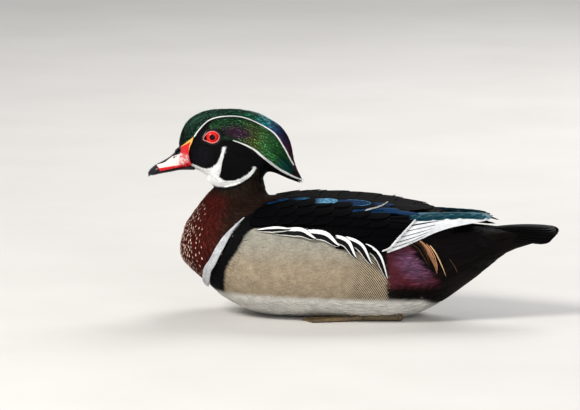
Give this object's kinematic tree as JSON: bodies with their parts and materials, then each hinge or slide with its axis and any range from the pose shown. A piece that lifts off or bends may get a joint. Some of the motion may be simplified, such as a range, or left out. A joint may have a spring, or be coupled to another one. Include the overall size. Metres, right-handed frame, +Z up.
{
  "type": "wood duck",
  "caption": "Life-size model of a drake wood duck afloat: swept-back crest, short hooked bill, folded wings, fanned tail and feet tucked under a flat belly.",
  "frame": {"origin": "on the floor under the belly, at the centre of the bird's length and width", "axes": "+X runs from the bill to the tail, +Y to the bird's right, +Z up"},
  "size_m": [0.3713, 0.1376, 0.1842],
  "materials": {
    "head_feathers": "glossy green and purple feathers with white lines",
    "crest_feathers": "glossy green, blue and purple feathers with white lines",
    "neck_feathers": "white throat, dark olive-brown nape",
    "breast_feathers": "chestnut with small white spots, white belly",
    "flank_feathers": "beige with fine dark waves, edged black and white",
    "wing_feathers": "black with a blue and teal gloss, white edges",
    "rump_feathers": "dark purple sides, black-brown above and below",
    "tail_feathers": "black with a faint green gloss",
    "bill": "smooth horn: red base, white side, black ridge and nail, yellow edge",
    "bill_dark": "smooth black horn",
    "eye": "wet, clear, red iris round a black pupil",
    "leg_skin": "dull yellow scaly skin with dark webs"
  },
  "bodies": {
    "root": {"head": "head_feathers", "crest": "crest_feathers", "bill_upper": "bill", "bill_lower": "bill_dark", "eye_left": "eye", "eye_right": "eye", "neck": "neck_feathers", "torso": "breast_feathers", "rump": "rump_feathers", "flank_left": "flank_feathers", "flank_right": "flank_feathers", "wing_left": "wing_feathers", "wing_right": "wing_feathers", "tail": "tail_feathers", "leg_left": "leg_skin", "leg_right": "leg_skin", "foot_left": "leg_skin", "foot_right": "leg_skin"}
  },
  "joints": []
}
